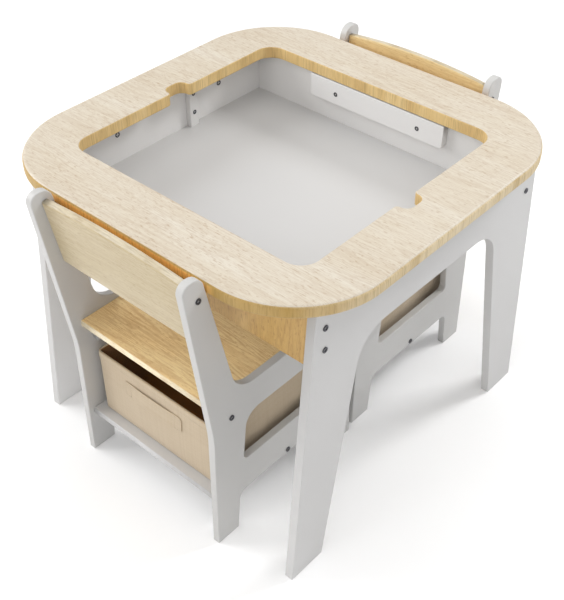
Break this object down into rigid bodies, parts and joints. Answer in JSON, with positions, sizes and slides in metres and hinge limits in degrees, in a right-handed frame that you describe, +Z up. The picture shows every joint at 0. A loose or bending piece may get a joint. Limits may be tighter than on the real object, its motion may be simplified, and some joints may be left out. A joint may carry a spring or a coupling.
{
  "type": "activity table and chair set",
  "caption": "Low square play table with an open storage well in its top and tuck-in chairs that each hold a fabric bin under the seat.",
  "frame": {"origin": "on the floor under the middle of the table", "axes": "+Z up; +Y from the chair A side to the chair B side; +X from the left leg panel to the right one"},
  "size_m": [0.6, 0.6865, 0.504],
  "materials": {
    "birch_pale": "satin",
    "birch_warm": "satin",
    "white_paint": "satin paint",
    "fabric_beige": "matt weave",
    "bin_board": "matt",
    "bolt_steel": "dark zinc",
    "dowel_wood": "raw"
  },
  "bodies": {
    "table": {"tabletop_ring": "birch_pale", "leg_panel_left": "white_paint", "leg_panel_right": "white_paint", "apron_front": "birch_warm", "apron_back": "birch_warm", "tray_floor": "white_paint", "top_rail_front": "white_paint", "top_rail_back": "white_paint", "wall_cleat_left": "white_paint", "wall_cleat_right": "white_paint", "apron_bolts": "bolt_steel", "apron_barrel_nuts": "bolt_steel", "apron_dowels": "dowel_wood", "ring_cam_studs": "bolt_steel", "ring_cams": "bolt_steel", "ring_screws": "bolt_steel", "rail_screws": "bolt_steel", "cleat_screws": "bolt_steel"},
    "chair_a": {"chair_a_side_left": "white_paint", "chair_a_side_right": "white_paint", "chair_a_backrest": "birch_pale", "chair_a_seat": "birch_warm", "chair_a_shelf": "white_paint", "chair_a_seat_cleat_left": "white_paint", "chair_a_seat_cleat_right": "white_paint", "chair_a_backrest_bolts": "bolt_steel", "chair_a_cleat_bolts": "bolt_steel", "chair_a_shelf_bolts": "bolt_steel", "chair_a_insert_nuts": "bolt_steel", "chair_a_dowels": "dowel_wood", "chair_a_seat_screws": "bolt_steel"},
    "chair_b": {"chair_b_side_left": "white_paint", "chair_b_side_right": "white_paint", "chair_b_backrest": "birch_pale", "chair_b_seat": "birch_warm", "chair_b_shelf": "white_paint", "chair_b_seat_cleat_left": "white_paint", "chair_b_seat_cleat_right": "white_paint", "chair_b_backrest_bolts": "bolt_steel", "chair_b_cleat_bolts": "bolt_steel", "chair_b_shelf_bolts": "bolt_steel", "chair_b_insert_nuts": "bolt_steel", "chair_b_dowels": "dowel_wood", "chair_b_seat_screws": "bolt_steel"},
    "bin_a": {"bin_a_shell": "fabric_beige", "bin_a_base_board": "bin_board", "bin_a_handle": "fabric_beige"},
    "bin_b": {"bin_b_shell": "fabric_beige", "bin_b_base_board": "bin_board", "bin_b_handle": "fabric_beige"}
  },
  "joints": [
    {"name": "chair_a_pull_out", "type": "slide", "parent": "table", "child": "chair_a", "axis": [0, -1, 0], "range_m": [0, 0.35]},
    {"name": "chair_b_pull_out", "type": "slide", "parent": "table", "child": "chair_b", "axis": [0, 1, 0], "range_m": [0, 0.35]},
    {"name": "bin_a_pull_out", "type": "slide", "parent": "chair_a", "child": "bin_a", "axis": [0, -1, 0], "range_m": [0, 0.2]},
    {"name": "bin_b_pull_out", "type": "slide", "parent": "chair_b", "child": "bin_b", "axis": [0, 1, 0], "range_m": [0, 0.2]}
  ]
}
